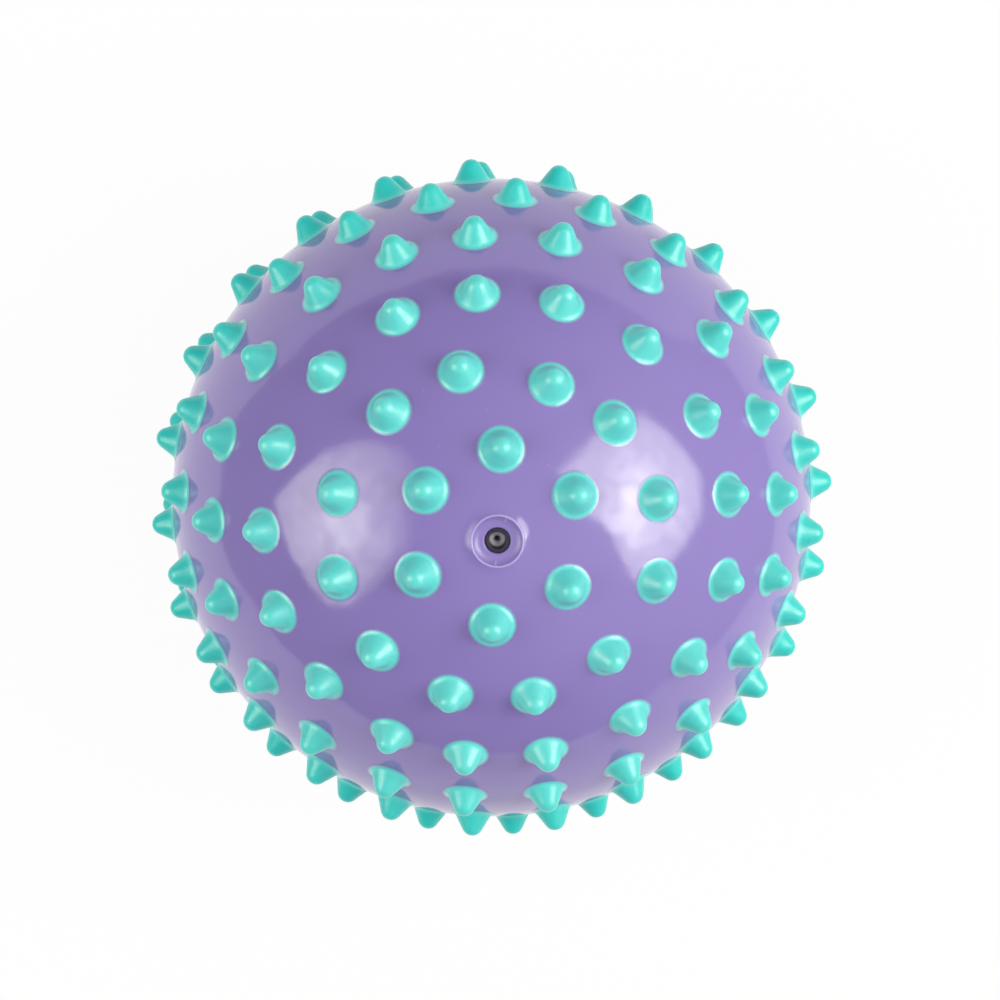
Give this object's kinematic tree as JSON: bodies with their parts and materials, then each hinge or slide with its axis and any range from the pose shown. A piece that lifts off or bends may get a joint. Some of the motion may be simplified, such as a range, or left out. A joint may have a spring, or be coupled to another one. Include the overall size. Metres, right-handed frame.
{
  "type": "inflatable spiky sensory ball",
  "caption": "Hollow vinyl play ball covered in soft bell-shaped spikes, with a rubber needle valve in a low domed collar.",
  "frame": {"origin": "centre of the round ball, which is also the centre of the box over the spikes", "axes": "+Z out of the valve, along the needle hole; +Y towards the top of the picture; +X towards its right"},
  "size_m": [0.2114, 0.2114, 0.2074],
  "materials": {
    "purple_vinyl": "glossy moulded soft vinyl, purple",
    "teal_vinyl": "glossy moulded soft vinyl, teal",
    "black_rubber": "satin moulded rubber, black",
    "grey_rubber": "satin moulded rubber, dark grey"
  },
  "bodies": {
    "ball": {"ball_skin": "purple_vinyl", "valve_housing": "black_rubber", "upper_spikes_1": "teal_vinyl", "upper_spikes_2": "teal_vinyl", "upper_spikes_3": "teal_vinyl", "upper_spikes_4": "teal_vinyl", "upper_spikes_5": "teal_vinyl", "upper_spikes_6": "teal_vinyl", "lower_spikes_1": "teal_vinyl", "lower_spikes_2": "teal_vinyl", "lower_spikes_3": "teal_vinyl", "lower_spikes_4": "teal_vinyl", "lower_spikes_5": "teal_vinyl", "lower_spikes_6": "teal_vinyl"},
    "core": {"valve_core": "grey_rubber"}
  },
  "joints": [
    {"name": "core_slide", "type": "slide", "parent": "ball", "child": "core", "axis": [0, 0, 1], "range_m": [0, 0.03]}
  ]
}
